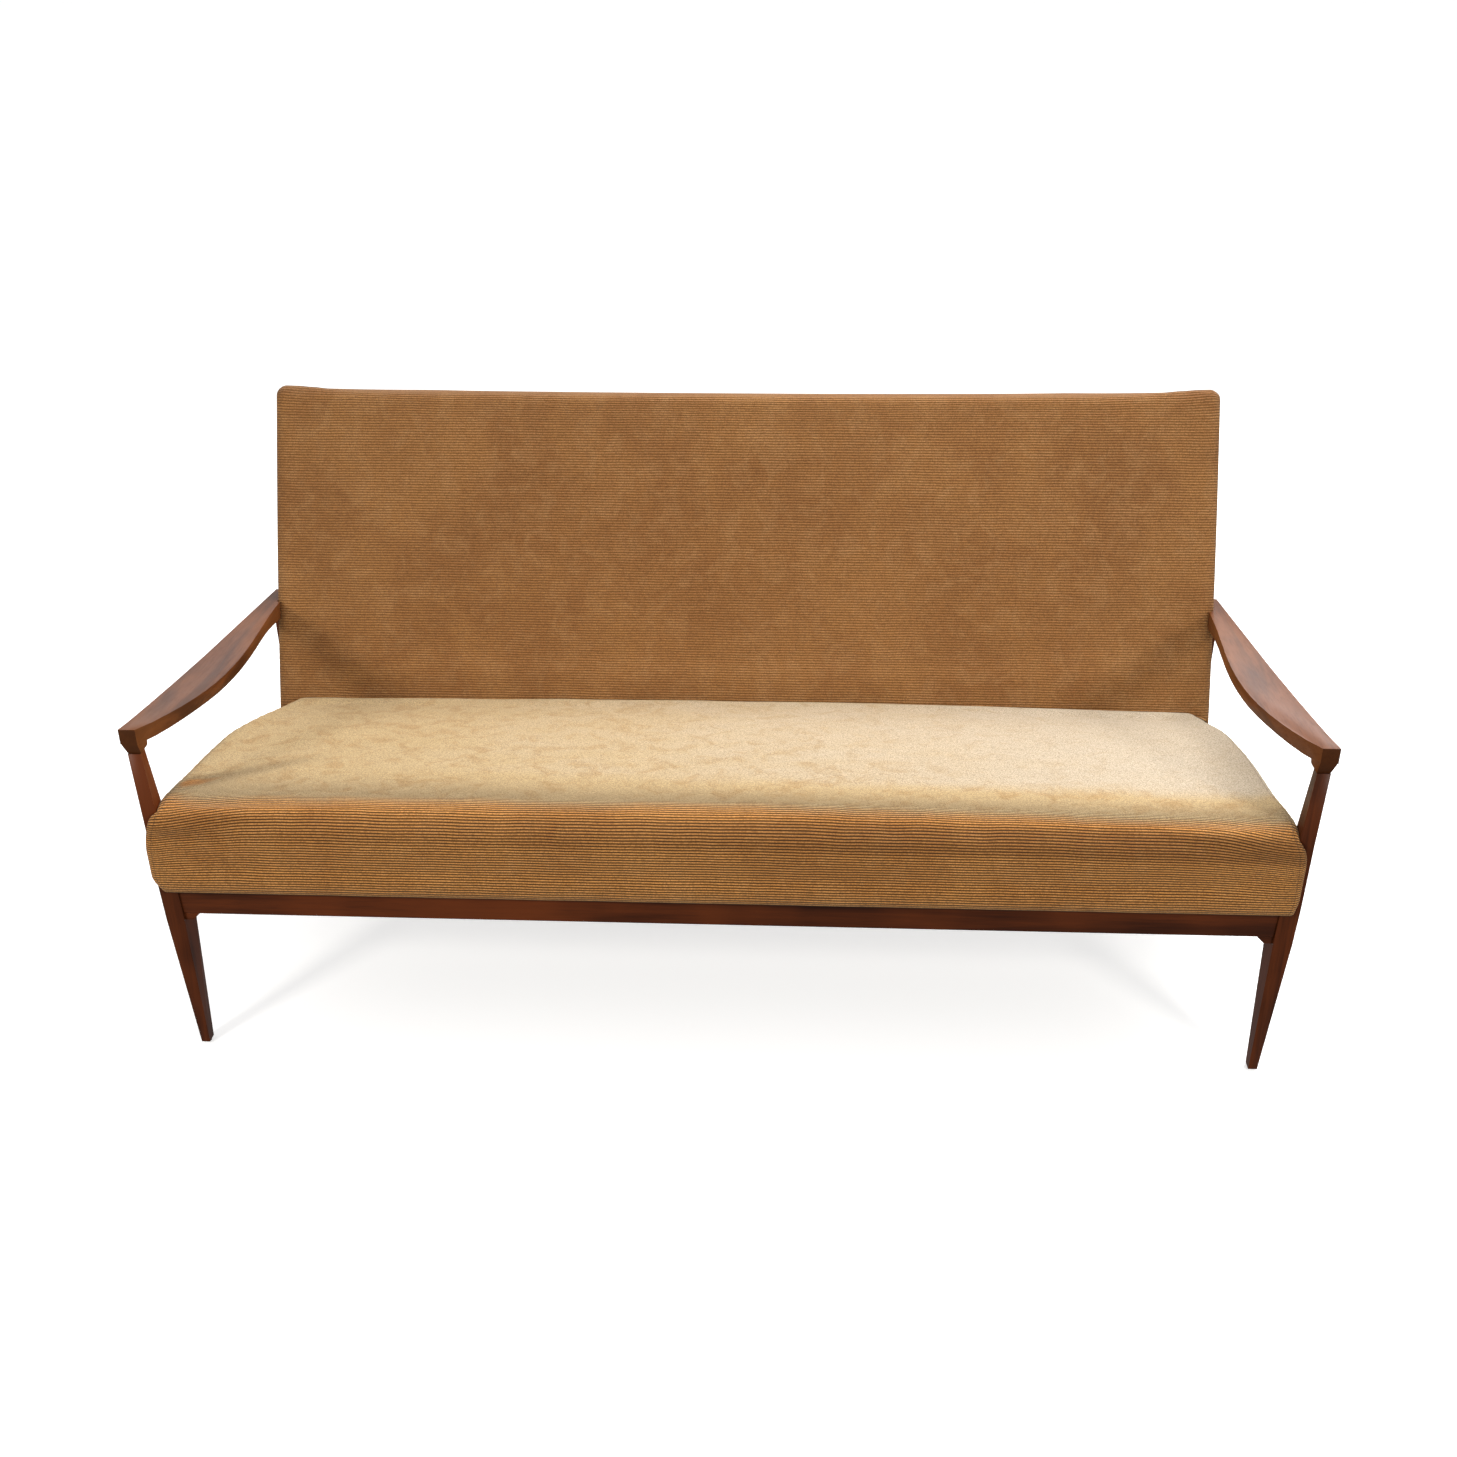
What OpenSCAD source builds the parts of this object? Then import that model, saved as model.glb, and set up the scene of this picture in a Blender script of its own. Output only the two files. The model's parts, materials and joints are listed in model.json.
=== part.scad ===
// Three-seat sofa: a sculpted walnut-stained wooden frame that carries an upholstered
// seat box and an upholstered back panel. Millimetres, +Z up, the front faces -Y.

/* [Overall] */
// Width over the outer tips of the two armrests
overall_w = 1800; // [1500:10:2100]
// Height of the upper end of the back panel's front face above the floor
back_top_z = 888; // [840:1:925]
// Lean of the back panel from the vertical, degrees
back_lean = 18.5; // [16:0.5:20]

/* [Seat] */
// Height of the underside of the seat box, which is the top of the rails
seat_z = 297; // [290:1:305]
// Height of the seat's front crest
crest_z = 446; // [435:1:460]
// Height of the seat's surface where it meets the back panel
seat_rear_z = 376; // [370:1:384]
// Distance that the seat's nose stands in front of the front rail
nose_out = 26; // [22:1:30]
// Depth of the seat from the front rail to the back panel
seat_d = 579; // [574:1:582]

/* [Wooden frame] */
// Height of the rails between the legs
rail_h = 47; // [42:1:54]
// Thickness of the rails
rail_t = 24; // [20:1:26]
// Height of the armrest's top face at its front tip
arm_front_z = 574; // [560:1:590]
// Height of the armrest's top face at its rear end
arm_rear_z = 526; // [518:1:532]
// Greatest width of the armrest's leaf-shaped top
arm_leaf_w = 69; // [56:1:76]
// Diameter of the small beech dowels in the frame joints
dowel_d = 8; // [6:1:9]

/* [Back panel] */
// Width of the back panel at its lower edge
back_low_w = 1686; // [1400:2:1686]
// Width of the back panel at its top edge
back_top_w = 1650; // [1350:2:1680]
// Thickness of the back panel over its padding
back_t = 78; // [74:1:80]

/* [Hidden] */
half_w = overall_w / 2;
gap = 0.4;              // clearance between neighbouring soft and hard solids
skin_t = 3;             // thickness of the upholstery cloth with its backing
arc_steps = 7;

// Legs: [across, depth] at the foot, at the rails and under the armrest
leg_foot = [14, 20];
leg_waist = [29, 52];
leg_head = [20, 19];
rail_low_z = seat_z - rail_h;
wedge_h = 12;
waist_low_z = rail_low_z - 12;
waist_high_z = seat_z + 6;
block_h = 41;           // height of the armrest's front block, which stands on the leg
front_top_z = arm_front_z - block_h;
rear_top_z = arm_rear_z - 14;
glide_h = 3;
glide_d = 12;
glide_pin_d = 3;
glide_pin_l = 12;
// Centres of the legs: [x, y] at the foot, y at the rails, [x, y] at the head
front_foot = [half_w - 44, 7];
front_waist_y = 23;
front_head = [half_w - 17.5, 7];
rear_foot = [half_w - 68, 735];
rear_waist_y = 697;
rear_head = [half_w - 51, 683];
tenon_d = 11;
tenon_l = 20;

// Armrests
arm_front_y = -4;
arm_rear_y = 704;
arm_t = 19;
arm_root_t = 5;         // extra thickness behind the front block
arm_heel_t = 14;        // extra thickness where the rear leg carries the armrest
arm_tip_w = 26;
arm_rear_w = 29;
arm_leaf_s = 0.33;      // where the leaf is widest, as a share of its length
arm_toe_in = 42;        // how far the armrests close in towards the rear
arm_dip = 2;            // how far the top dips between its two ends
arm_steps = 20;
block_d = 20;

// Seat box
seat_half = front_foot[0];      // between the legs
nose_half = seat_half + 20;     // in front of the legs
seat_gap = 3;           // between the seat's rear face and the back panel
board_h = 40;
board_t = 24;
box_half = seat_half - 16;
box_front = 2;
box_rear = 530;
box_z = seat_z + gap;
spring_n = 11;
spring_wire = 3.6;
spring_turns = 20;
spring_half = 24;
spring_z = box_z + board_h + 2;
hessian_t = 2;
hessian_z = spring_z + spring_wire + 3;
spring_x = [for (i = [0:spring_n - 1]) (i / (spring_n - 1) - 0.5) * (2 * box_half - 170)];
spring_y = [box_front + 8, box_rear - 8];
dust_t = 1.6;

// Back panel, in its own plane: x across, u up the slope, v towards the rear
cl = cos(back_lean);
sl = sin(back_lean);
edge_r = 20;
foot_u = -60;
top_u = (back_top_z - seat_rear_z) / cl;
stile_w = 45;
stile_v = 42;           // how far the back frame lies behind the panel's front face
rear_cloth_t = 2.5;
stile_t = back_t - rear_cloth_t - 0.5 - stile_v;
stile_in = 22;          // from the panel's edge to the back frame
frame_foot_u = foot_u + 16;
frame_top_u = top_u - 26;
stud_x = 260;
strap_w = 50;
strap_n = 9;
strap_t = 2;
cross_strap_u = [130, 330];

// Rails between the side rails and between the rear legs
bearer_y = 502;
bearer_t = 24;
back_bearer_y = 604;
back_rail_z = 382;
back_rail_h = 42;
back_rail_y = 706;      // its rear face

// Fasteners: [x, y] of the seat's screws and of the back's foot screws
screw_d = 5;
screw_head_d = 10;
screw_head_h = 4;
screw_sink = 6;
seat_screw_at = concat(
    [for (k = [-3, -1, 1, 3]) [k * (box_half - 60) / 3, bearer_y + bearer_t / 2]],
    [for (s = [-1, 1]) [s * (box_half - board_t / 2), 50]]);
foot_screw_at = [for (x = [-600, -200, 200, 600]) [x, back_bearer_y + bearer_t / 2]];
bolt_d = 8;
bolt_x = [-780, -stud_x, stud_x, 780];
bolt_u = 57;
bolt_seat_v = back_t + 20;
washer_t = 1.5;
washer_d = 20;
nut_d = 11;
nut_l = 14;
nut_flange_d = 22;

// The row's origin is under the middle of the whole sofa
y_front = -nose_out;
y_rear = seat_d + (top_u - edge_r) * sl + (back_t - edge_r) * cl + edge_r;
y_mid = (y_front + y_rear) / 2;

wood = [0.30, 0.17, 0.12];
beech = [0.80, 0.66, 0.48];
pine = [0.84, 0.72, 0.52];
cord = [0.56, 0.40, 0.24];
foam = [0.93, 0.90, 0.80];
jute = [0.72, 0.62, 0.44];
black = [0.10, 0.10, 0.10];
steel = [0.62, 0.63, 0.65];

// ---------------------------------------------------------------- plane geometry

function unit(v) = v / norm(v);
function lerp(a, b, t) = a + (b - a) * t;
function smooth(t) = t * t * (3 - 2 * t);
function wrap(a) = a - 360 * floor((a + 180) / 360);
function flat(pts) = [for (p = pts) [p[0], p[1]]];

// A corner of an outline as an arc that touches both of its edges
function corner(a, p, b, r) =
    let (u = unit(a - p), v = unit(b - p), half = acos(u * v) / 2,
         c = p + unit(u + v) * r / sin(half), s = p + u * r / tan(half) - c,
         e = p + v * r / tan(half) - c, start = atan2(s[1], s[0]),
         turn = wrap(atan2(e[1], e[0]) - start))
    [for (i = [0:arc_steps]) let (t = start + turn * i / arc_steps) c + r * [cos(t), sin(t)]];

function straight(a, p, b) = norm(unit(a - p) + unit(b - p)) < 0.002;

// An outline of [x, y, radius] with its corners rounded
function rounded(pts) =
    let (m = len(pts), q = flat(pts))
    [for (i = [0:m - 1]) let (a = q[(i + m - 1) % m], b = q[(i + 1) % m])
        each (pts[i][2] <= 0 || straight(a, q[i], b) ? [q[i]] : corner(a, q[i], b, pts[i][2]))];

// A closed anticlockwise outline moved inwards by d, its corner radii with it
function inset(pts, d) =
    let (m = len(pts), q = flat(pts))
    [for (i = [0:m - 1])
        let (u = unit(q[i] - q[(i + m - 1) % m]), v = unit(q[(i + 1) % m] - q[i]),
             nu = [-u[1], u[0]], nv = [-v[1], v[0]], p = q[i] + (nu + nv) * d / (1 + nu * nv))
        [p[0], p[1], max(pts[i][2] - d, 0)]];

// ---------------------------------------------------------------- placing

// The design is drawn from the front rail's face; this moves it to the row's origin
module placed(paint) color(paint) translate([0, -y_mid, 0]) children();
module left_hand() mirror([1, 0, 0]) children();
module both_sides() {
    children();
    left_hand() children();
}
// An outline of (y, z) extruded across the sofa between two x values
module across(x0, x1) translate([x0, 0, 0]) rotate([90, 0, 90]) linear_extrude(x1 - x0)
    children();
// An outline of (x, z) extruded from front to back between two y values
module backwards(y0, y1) translate([0, y1, 0]) rotate([90, 0, 0]) linear_extrude(y1 - y0)
    children();
// The back panel's own frame: x across, y up the slope, z towards the front
module on_panel() translate([0, seat_d, seat_rear_z]) rotate([90 - back_lean, 0, 0])
    children();
// An outline of (x, u) extruded through the back panel between two v values
module through_panel(v0, v1) on_panel() translate([0, 0, -v1]) linear_extrude(v1 - v0)
    children();
module panel_box(x0, x1, u0, u1, v0, v1) through_panel(v0, v1) translate([x0, u0])
    square([x1 - x0, u1 - u0]);
// Round pegs centred on a point, along X and along Z
module peg_x(x, y, z, d, l) translate([x, y, z]) rotate([0, 90, 0]) cylinder(d = d, h = l,
    center = true, $fn = 32);
module peg_z(x, y, z, d, l) translate([x, y, z]) cylinder(d = d, h = l, center = true,
    $fn = 32);

// ---------------------------------------------------------------- legs

// A leg on the right-hand side, from its foot centre, its y at the rails and its head centre
module leg_shape(foot, waist_y, head, top_z) {
    tilt = (head[0] - foot[0]) / (top_z - glide_h);
    neck_z = lerp(waist_high_z, top_z, 0.45);
    neck = lerp(leg_waist, leg_head, 0.6);
    stations = [[glide_h, foot[1], leg_foot, 0], [waist_low_z, waist_y, leg_waist, 60],
        [waist_high_z, waist_y, leg_waist, 60],
        [neck_z, lerp(waist_y, head[1], 0.6), neck, 90], [top_z, head[1], leg_head, 0]];
    n = len(stations) - 1;
    // axis 1 gives the outline of (y, z); axis 0 gives the outline of (x, z)
    outline = function (axis) [for (side = [1, -1]) for (i = [0:n])
        let (s = stations[side > 0 ? i : n - i],
             c = axis == 1 ? s[1] : foot[0] + tilt * (s[0] - glide_h))
        [c + side * s[2][axis] / 2, s[0], s[3]]];
    intersection() {
        across(half_w - 150, half_w + 40) polygon(rounded(outline(1)));
        backwards(-60, 820) polygon(rounded(outline(0)));
    }
}
module front_leg_shape() leg_shape(front_foot, front_waist_y, front_head, front_top_z);
module rear_leg_shape() leg_shape(rear_foot, rear_waist_y, rear_head, rear_top_z);

// The x of a leg's centre at height z
function front_x(z) = lerp(front_foot[0], front_head[0], (z - glide_h) / (front_top_z - glide_h));
function rear_x(z) = lerp(rear_foot[0], rear_head[0], (z - glide_h) / (rear_top_z - glide_h));

module front_leg() difference() {
    union() {
        front_leg_shape();
        front_tenon();
    }
    front_rail_pegs();
    side_rail_pegs();
    glide_pin(front_foot);
}
// The back panel's side rests in a shallow notch in the rear leg and in the armrest
module rear_leg() difference() {
    rear_leg_shape();
    armrest_shape();
    back_shape(-gap);
    rear_rail_pegs();
    side_rail_pegs();
    back_rail_pegs();
    armrest_pegs();
    glide_pin(rear_foot);
}
module front_tenon() peg_z(front_head[0], front_head[1], front_top_z + tenon_l / 2 - 1,
    tenon_d, tenon_l + 2);

module front_leg_left() placed(wood) left_hand() front_leg();
module front_leg_right() placed(wood) front_leg();
module rear_leg_left() placed(wood) left_hand() rear_leg();
module rear_leg_right() placed(wood) rear_leg();

// Nylon glides with a pin each, flat on the floor
module glide_pin(at) peg_z(at[0], at[1], glide_h + glide_pin_l / 2, glide_pin_d, glide_pin_l);
module leg_glides() placed(black) both_sides() for (at = [front_foot, rear_foot]) {
    translate([at[0], at[1], 0]) cylinder(d = glide_d, h = glide_h, $fn = 48);
    glide_pin(at);
}

// ---------------------------------------------------------------- armrests

function arm_s(y) = (y - arm_front_y) / (arm_rear_y - arm_front_y);
function arm_top(y) = lerp(arm_front_z, arm_rear_z, arm_s(y)) - arm_dip * sin(180 * arm_s(y));
function arm_under(y) = arm_top(y) - arm_t - arm_root_t * (1 - smooth(min(4 * arm_s(y), 1)))
    - arm_heel_t * smooth(max(0, (arm_s(y) - 0.68) / 0.32));
function arm_outer(y) = half_w - arm_toe_in * pow(arm_s(y), 0.8);
// The leaf swells quickly behind the tip and then narrows slowly to the rear
function leaf(s) = s < arm_leaf_s ? pow(sin(90 * s / arm_leaf_s), 0.85)
    : (1 + cos(180 * (s - arm_leaf_s) / (1 - arm_leaf_s))) / 2;
function arm_width(y) = let (s = arm_s(y), plain = lerp(arm_tip_w, arm_rear_w, s))
    plain + (arm_leaf_w - arm_tip_w - 2) * leaf(s);

// The block under the tip: its (y, z) outline and its (x, z) outline, rounded at the foot
block_back = arm_front_y + block_d;
block_side = [[arm_front_y, arm_front_z - 5, 0], [arm_front_y, front_top_z + 16, 20],
    [arm_front_y + 4, front_top_z, 0], [block_back - 2, front_top_z, 0],
    [block_back, front_top_z + 5, 6], [block_back, arm_front_z - 5, 0]];
block_face = [[front_head[0] - 19, arm_front_z - 5, 0], [front_head[0] - 16, front_top_z + 8, 9],
    [front_head[0] - leg_head[0] / 2, front_top_z, 0],
    [front_head[0] + leg_head[0] / 2, front_top_z, 0], [half_w - 1, front_top_z + 17, 26],
    [half_w, arm_front_z - 5, 0]];

module armrest_shape() {
    ys = [for (i = [0:arm_steps]) lerp(arm_front_y, arm_rear_y, i / arm_steps)];
    plan = concat([for (y = ys) [arm_outer(y), y]],
        [for (i = [arm_steps:-1:0]) [arm_outer(ys[i]) - arm_width(ys[i]), ys[i]]]);
    blade = concat([for (y = ys) [y, arm_top(y)]],
        [for (i = [arm_steps:-1:0]) [ys[i], arm_under(ys[i])]]);
    intersection() {
        translate([0, 0, rear_top_z - 40]) linear_extrude(150) polygon(plan);
        union() {
            across(half_w - 150, half_w + 20) polygon(blade);
            intersection() {
                across(half_w - 80, half_w + 10) polygon(rounded(block_side));
                backwards(arm_front_y - 10, block_back + 10) polygon(rounded(block_face));
            }
        }
    }
}

module armrest() difference() {
    armrest_shape();
    back_shape(-gap);
    front_tenon();
    armrest_pegs();
}
module armrest_left() placed(wood) left_hand() armrest();
module armrest_right() placed(wood) armrest();

// ---------------------------------------------------------------- rails

// The part of space beyond the middle of the right and left legs
module beyond(x, y) for (s = [0, 1]) mirror([s, 0, 0]) translate([x, y - 80, 0])
    cube([half_w, 160, back_top_z]);

// A rail between a pair of legs, from an outline of (y, z), let into the legs
module leg_rail(outline, x, y) difference() {
    across(-half_w, half_w) polygon(outline);
    beyond(x, y);
    children();
}

// The front rail's ends are rounded where they meet the legs
module front_rail() placed(wood) intersection() {
    leg_rail(rounded([[0, rail_low_z, 3], [rail_t, rail_low_z, 0], [rail_t, seat_z, 0],
        [0, seat_z, 0]]), front_x(seat_z), 0) {
        both_sides() front_leg_shape();
        both_sides() front_rail_pegs();
    }
    end_x = front_x(rail_low_z) - leg_waist[0] / 2 + 3;
    backwards(-1, rail_t + 1) polygon(rounded([[-end_x, rail_low_z, 9],
        [end_x, rail_low_z, 9], [end_x, seat_z, 9], [-end_x, seat_z, 9]]));
}
module rear_rail() placed(wood) leg_rail([[rear_waist_y - rail_t / 2, rail_low_z],
    [rear_waist_y + rail_t / 2, rail_low_z], [rear_waist_y + rail_t / 2, seat_z],
    [rear_waist_y - rail_t / 2, seat_z]], rear_x(seat_z), rear_waist_y) {
        both_sides() rear_leg_shape();
        both_sides() rear_rail_pegs();
    }

// The back cross rail's front face is bevelled to lie flat on the back panel
function panel_rear_y(z) = seat_d + (z - seat_rear_z) * sl / cl + back_t / cl + gap;
module back_cross_rail() placed(wood) difference() {
    top_z = back_rail_z + back_rail_h;
    leg_rail([[panel_rear_y(back_rail_z), back_rail_z], [back_rail_y, back_rail_z],
        [back_rail_y, top_z], [panel_rear_y(top_z), top_z]], rear_x(back_rail_z),
        rear_head[1]) {
        both_sides() rear_leg_shape();
        both_sides() back_rail_pegs();
    }
    at_bolts() through(bolt_d, 0, bolt_seat_v);
    at_bolts() through(washer_d + 2, bolt_seat_v, bolt_seat_v + 30);
}

// The side rail's frame: x along the rail from the front leg's middle to the rear leg's,
// y towards the middle of the sofa
side_z = (rail_low_z + seat_z) / 2;
side_front = [front_x(side_z), front_waist_y];
side_rear = [rear_x(side_z), rear_waist_y];
side_len = norm(side_rear - side_front);
side_t = rail_t - 2;
module on_side_rail() translate([side_front[0], side_front[1], side_z])
    rotate([0, 0, atan2(side_rear[1] - side_front[1], side_rear[0] - side_front[0])])
        children();
function side_x(y) = lerp(side_front[0], side_rear[0],
    (y - side_front[1]) / (side_rear[1] - side_front[1]));
module outboard() on_side_rail() translate([-50, -150, -150])
    cube([side_len + 100, 150 + side_t / 2, 300]);

module side_rail() difference() {
    on_side_rail() translate([0, -side_t / 2, -rail_h / 2]) cube([side_len, side_t, rail_h]);
    front_leg_shape();
    rear_leg_shape();
    side_rail_pegs();
    bearer_pegs();
}
module side_rail_left() placed(wood) left_hand() side_rail();
module side_rail_right() placed(wood) side_rail();

// A rail between the two side rails, from an outline of (y, z)
module cross_rail(outline) difference() {
    across(-half_w, half_w) polygon(outline);
    both_sides() outboard();
    both_sides() bearer_pegs();
    upward_screws(seat_screw_at);
    upward_screws(foot_screw_at);
}
module seat_bearer_rail() placed(beech) cross_rail([[bearer_y, rail_low_z],
    [bearer_y + bearer_t, rail_low_z], [bearer_y + bearer_t, seat_z], [bearer_y, seat_z]]);

// Its top is bevelled to the slope of the back panel's underside
function panel_foot_z(y) = seat_rear_z + foot_u * cl - (y - seat_d - foot_u * sl) * sl / cl - gap;
module back_bearer_rail() placed(beech) cross_rail([[back_bearer_y, rail_low_z],
    [back_bearer_y + bearer_t, rail_low_z],
    [back_bearer_y + bearer_t, panel_foot_z(back_bearer_y + bearer_t)],
    [back_bearer_y, panel_foot_z(back_bearer_y)]]);

// Small chamfered wedges glued under the front rail against the legs
module rail_wedges() placed(wood) both_sides() difference() {
    x = front_x(rail_low_z);
    backwards(2, rail_t - 2) polygon([[x - 40, rail_low_z], [x, rail_low_z],
        [x, rail_low_z - wedge_h], [x - 40 + wedge_h, rail_low_z - wedge_h]]);
    front_leg_shape();
}

// Glue blocks in the four corners of the rails
module corner_block(outline) difference() {
    translate([0, 0, rail_low_z + 2]) linear_extrude(rail_h - 6) polygon(outline);
    front_leg_shape();
    rear_leg_shape();
    outboard();
    upward_screws(seat_screw_at);
}
module corner_blocks() placed(pine) both_sides() {
    rear_y = rear_waist_y - rail_t / 2;
    corner_block([[side_front[0] - 80, rail_t], [side_front[0] + 20, rail_t],
        [side_front[0] + 20, rail_t + 116], [side_front[0] - 14, rail_t + 90]]);
    corner_block([[side_rear[0] - 80, rear_y], [side_rear[0] - 12, rear_y - 76],
        [side_rear[0] + 20, rear_y - 90], [side_rear[0] + 20, rear_y]]);
}

// ---------------------------------------------------------------- dowels

rail_peg_z = [rail_low_z + 14, seat_z - 14];
module front_rail_pegs() for (z = rail_peg_z)
    peg_x(front_x(z) - leg_waist[0] / 2, 15, z, dowel_d, 22);
module rear_rail_pegs() for (z = rail_peg_z)
    peg_x(rear_x(z) - leg_waist[0] / 2, rear_waist_y, z, dowel_d, 22);
module side_rail_pegs() on_side_rail() for (z = [-12, 12])
    for (x = [leg_waist[1] / 2, side_len - leg_waist[1] / 2])
        peg_x(x, 0, z, dowel_d + 2, 36);
module bearer_pegs() for (y = [bearer_y, back_bearer_y]) for (z = [side_z - 12, side_z + 12])
    peg_x(side_x(y + bearer_t / 2) - side_t / 2, y + bearer_t / 2, z, dowel_d, 24);
module back_rail_pegs() for (z = [back_rail_z + 11, back_rail_z + back_rail_h - 11])
    peg_x(rear_x(z) - leg_head[0] / 2 - 1, back_rail_y - 15, z, dowel_d, 20);
module armrest_pegs() for (y = [-5, 5])
    peg_z(rear_head[0] + 1, rear_head[1] + y, arm_under(rear_head[1]), 6, 24);

module front_rail_dowels() placed(beech) both_sides() front_rail_pegs();
module rear_rail_dowels() placed(beech) both_sides() rear_rail_pegs();
module side_rail_dowels() placed(beech) both_sides() side_rail_pegs();
module bearer_dowels() placed(beech) both_sides() bearer_pegs();
module back_rail_dowels() placed(beech) both_sides() back_rail_pegs();
module armrest_dowels() placed(beech) both_sides() armrest_pegs();

// ---------------------------------------------------------------- seat box

// The seat from the side, as (y, z): nose, crest, sloping top and raked rear face
seat_side = [[-nose_out + 5, seat_z + gap, 14],
    [seat_d - (seat_rear_z - seat_z) * sl / cl - seat_gap, seat_z + gap, 0],
    [seat_d - seat_gap, seat_rear_z, 14], [300, crest_z - 20, 300],
    [14, crest_z + 6, 46], [-nose_out, crest_z - 42, 60]];
// The seat from the front, as (x, z)
seat_face = [[nose_half - 6, seat_z - 40, 0], [nose_half, crest_z - 64, 60],
    [nose_half - 58, crest_z + 2, 70], [58 - nose_half, crest_z + 2, 70],
    [-nose_half, crest_z - 64, 60], [6 - nose_half, seat_z - 40, 0]];

// The nose is wider than the space between the front legs and passes in front of them
module seat_shape(d) difference() {
    intersection() {
        across(-half_w, half_w) polygon(rounded(inset(seat_side, d)));
        backwards(-60, 620) polygon(rounded(inset(seat_face, d)));
    }
    both_sides() translate([seat_half - d, -5 - d, 0]) cube([100, 700, back_top_z]);
}
// Room for the wooden box, the springs and the hessian, open downwards
module seat_well(d, top_z) translate([-box_half - d, box_front - d, seat_z - 10])
    cube([2 * (box_half + d), box_rear - box_front + 2 * d, top_z - seat_z + 10]);

module seat_cover() placed(cord) difference() {
    seat_shape(0);
    seat_shape(skin_t);
    seat_well(1, seat_z + 10);
}
module seat_padding() placed(foam) difference() {
    seat_shape(skin_t + gap);
    seat_well(gap, hessian_z + hessian_t + gap);
}
module seat_hessian() placed(jute) translate([-box_half, box_front, hessian_z])
    cube([2 * box_half, box_rear - box_front, hessian_t]);
module seat_dust_cover() placed(black) translate([30 - box_half, rail_t + 4, seat_z - dust_t])
    cube([2 * box_half - 60, bearer_y - rail_t - 8, dust_t]);

module seat_board(x0, x1, y0, y1) difference() {
    translate([x0, y0, box_z]) cube([x1 - x0, y1 - y0, board_h]);
    upward_screws(seat_screw_at);
}
module seat_frame_side() seat_board(box_half - board_t, box_half, box_front + board_t,
    box_rear - board_t);
module seat_frame_front() placed(pine) seat_board(-box_half, box_half, box_front,
    box_front + board_t);
module seat_frame_rear() placed(pine) seat_board(-box_half, box_half, box_rear - board_t,
    box_rear);
module seat_frame_left() placed(pine) left_hand() seat_frame_side();
module seat_frame_right() placed(pine) seat_frame_side();
module seat_frame_spreaders() placed(pine) for (x = [-box_half / 3, box_half / 3])
    seat_board(x - board_t / 2, x + board_t / 2, box_front + board_t, box_rear - board_t);

// Zigzag springs: straight runs across, joined by half turns, as one flat strip each
function zigzag(offset) =
    let (pitch = (spring_y[1] - spring_y[0]) / spring_turns, reach = spring_half - pitch / 2)
    [for (i = [0:spring_turns - 1]) let (side = i % 2 == 0 ? 1 : -1, r = pitch / 2 - side * offset)
        for (k = [0:4]) let (t = 45 * k - 90)
            [side * (reach + r * cos(t)), (i + 0.5) * pitch + r * sin(t)]];
module seat_springs() placed(steel) for (x = spring_x)
    translate([x, spring_y[0], spring_z]) linear_extrude(spring_wire) {
        left = zigzag(-spring_wire / 2);
        right = zigzag(spring_wire / 2);
        polygon(concat(left, [for (i = [len(right) - 1:-1:0]) right[i]]));
    }
// Steel clips nailed to the boards hold the two ends of each spring
module spring_clips() placed(steel) for (x = spring_x)
    for (end = [-1, 1]) translate([x, spring_y[end > 0 ? 1 : 0] - end, box_z + board_h]) {
        translate([-12, -7, 0]) cube([24, 14, 1.2]);
        translate([-12, -7, spring_wire + 2.2]) cube([24, 14, 1.2]);
        translate([-12, end * 6 - 1, 0]) cube([24, 2, spring_wire + 3.4]);
    }

// Countersunk screws driven upwards through the rails
module upward_screws(spots) for (at = spots) translate([at[0], at[1], rail_low_z + screw_sink]) {
    cylinder(d = screw_head_d, h = screw_head_h, $fn = 32);
    cylinder(d = screw_d, h = rail_h + 28, $fn = 32);
}
module seat_screws() placed(steel) upward_screws(seat_screw_at);
module back_foot_screws() placed(steel) upward_screws(foot_screw_at);

// ---------------------------------------------------------------- back panel

back_side = [[0, foot_u, 10], [back_t, foot_u, 10], [back_t, top_u, edge_r],
    [0, top_u, edge_r]];
back_face = [[back_low_w / 2, foot_u, 12], [back_top_w / 2, top_u, 26],
    [-back_top_w / 2, top_u, 26], [-back_low_w / 2, foot_u, 12]];
function back_edge(u) = lerp(back_low_w, back_top_w, (u - foot_u) / (top_u - foot_u)) / 2;

module back_shape(d) intersection() {
    on_panel() rotate([0, 90, 0]) translate([0, 0, -half_w]) linear_extrude(overall_w)
        polygon(rounded(inset(back_side, d)));
    through_panel(0, back_t) polygon(rounded(inset(back_face, d)));
}
module back_inner(d, v0, v1) through_panel(v0, v1) polygon(flat(inset(back_face, d)));

module back_cover() placed(cord) difference() {
    back_shape(0);
    back_shape(skin_t);
    back_inner(18, back_t - 6, back_t + 5);
}
module back_padding() placed(foam) difference() {
    back_shape(skin_t + gap);
    back_inner(13, stile_v - 5, back_t + 5);
}
module back_rear_cloth() placed(cord) back_inner(18.5, back_t - rear_cloth_t, back_t);
module back_hessian() placed(jute) back_inner(14, stile_v - 4, stile_v - 2.4);

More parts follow.
